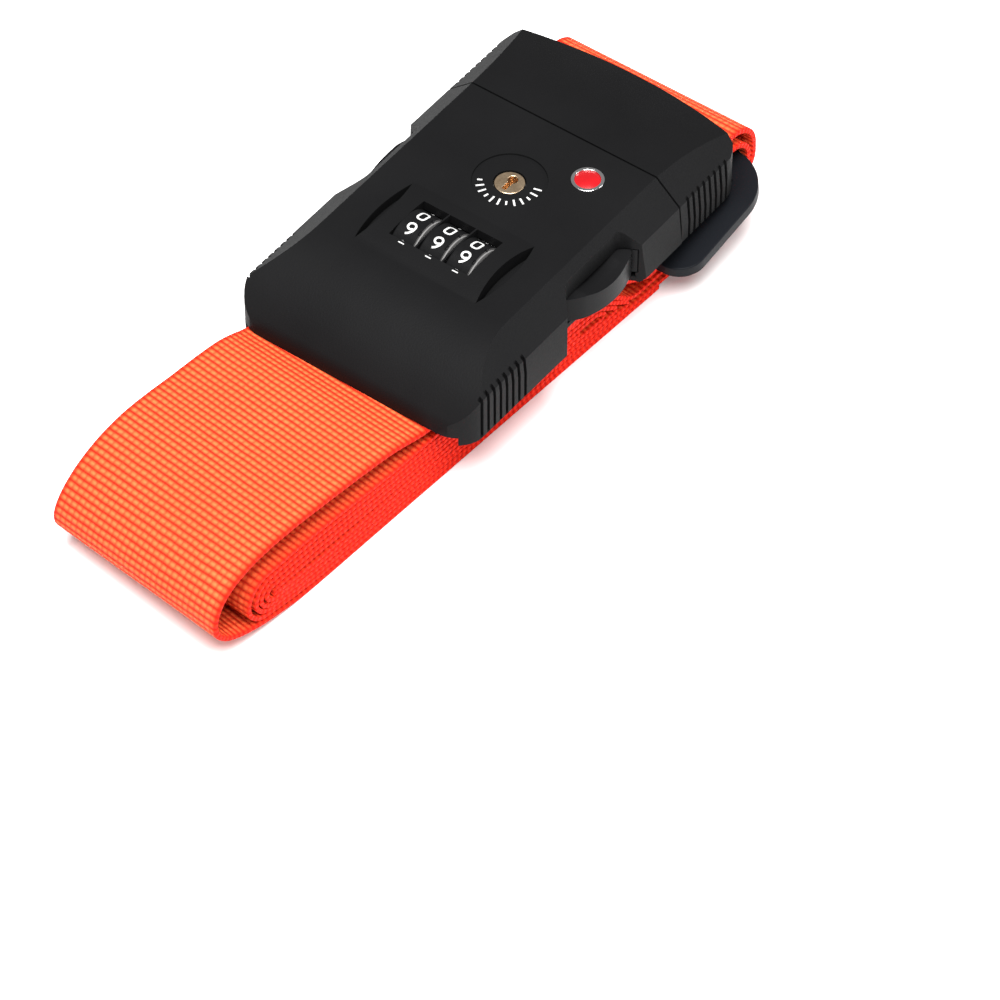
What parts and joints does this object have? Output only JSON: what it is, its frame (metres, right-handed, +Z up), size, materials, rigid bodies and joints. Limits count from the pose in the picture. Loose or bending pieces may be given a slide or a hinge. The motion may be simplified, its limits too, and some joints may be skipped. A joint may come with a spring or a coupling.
{
  "type": "luggage_strap",
  "caption": "Orange ribbed luggage strap rolled up under a black side-release buckle with number dials, a key cylinder and a slider",
  "frame": {"origin": "bottom centre of the bounding box, on the surface the roll lies on", "axes": "+X along the lock towards the plug's free end, +Y across the webbing, +Z up out of the lock's face"},
  "size_m": [0.182, 0.0688, 0.0363],
  "materials": {
    "lock_plastic": "finely grained moulded ABS",
    "arm_plastic": "smooth satin acetal",
    "wheel_plastic": "smooth black acetal with white digits",
    "slider_plastic": "finely grained moulded acetal",
    "screw_steel": "zinc plated",
    "spring_steel": "drawn spring steel",
    "hub_zinc": "die-cast zinc alloy, as cast",
    "key_brass": "turned brass, slightly worn",
    "lens_red": "clear red lens",
    "bezel_chrome": "bright ring",
    "webbing": "ribbed polypropylene webbing"
  },
  "bodies": {
    "housing": {"housing_shell": "lock_plastic", "housing_cover": "lock_plastic", "cover_screws": "screw_steel", "wheel_shaft": "spring_steel", "shaft_spring": "spring_steel", "detent_spring": "spring_steel", "latch_springs": "spring_steel", "key_barrel": "hub_zinc", "indicator_lens": "lens_red", "indicator_bezel": "bezel_chrome", "webbing_coil": "webbing", "webbing_wrap": "webbing"},
    "wheel_1": {"number_wheel_1": "wheel_plastic", "wheel_hub_1": "hub_zinc"},
    "wheel_2": {"number_wheel_2": "wheel_plastic", "wheel_hub_2": "hub_zinc"},
    "wheel_3": {"number_wheel_3": "wheel_plastic", "wheel_hub_3": "hub_zinc"},
    "latch": {"latch_plate": "hub_zinc"},
    "key": {"key_plug": "key_brass", "key_cam": "hub_zinc", "cam_screw": "screw_steel"},
    "reset": {"reset_button": "arm_plastic"},
    "plug": {"plug_shell": "lock_plastic", "plug_frame": "lock_plastic", "plug_screws": "screw_steel", "slider": "slider_plastic", "webbing_plug_run": "webbing"},
    "arm_left": {"release_arm_left": "arm_plastic"},
    "arm_right": {"release_arm_right": "arm_plastic"}
  },
  "joints": [
    {"name": "wheel_1_turn", "type": "hinge", "parent": "housing", "child": "wheel_1", "pos_m": [0.01008, 0.00905, 0.0287], "axis": [0, 1, 0], "continuous": true},
    {"name": "wheel_2_turn", "type": "hinge", "parent": "housing", "child": "wheel_2", "pos_m": [0.01008, 0.00175, 0.0287], "axis": [0, 1, 0], "continuous": true},
    {"name": "wheel_3_turn", "type": "hinge", "parent": "housing", "child": "wheel_3", "pos_m": [0.01008, -0.00555, 0.0287], "axis": [0, 1, 0], "continuous": true},
    {"name": "latch_slide", "type": "slide", "parent": "housing", "child": "latch", "axis": [1, 0, 0], "range_m": [0, 0.0022]},
    {"name": "key_turn", "type": "hinge", "parent": "housing", "child": "key", "pos_m": [0.03397, 0.00175, 0.028], "axis": [0, 0, 1], "range_deg": [0, 90]},
    {"name": "reset_press", "type": "slide", "parent": "housing", "child": "reset", "axis": [0, 0, 1], "range_m": [0, 0.001], "stiffness_N_per_m": 400},
    {"name": "plug_slide", "type": "slide", "parent": "housing", "child": "plug", "axis": [1, 0, 0], "range_m": [0, 0.045]},
    {"name": "arm_left_press", "type": "hinge", "parent": "plug", "child": "arm_left", "pos_m": [0.05948, 0.02835, 0.023], "axis": [0, 0, 1], "range_deg": [0, 6.5], "stiffness_Nm_per_rad": 0.6},
    {"name": "arm_right_press", "type": "hinge", "parent": "plug", "child": "arm_right", "pos_m": [0.05948, -0.02485, 0.023], "axis": [0, 0, -1], "range_deg": [0, 6.5], "stiffness_Nm_per_rad": 0.6}
  ]
}
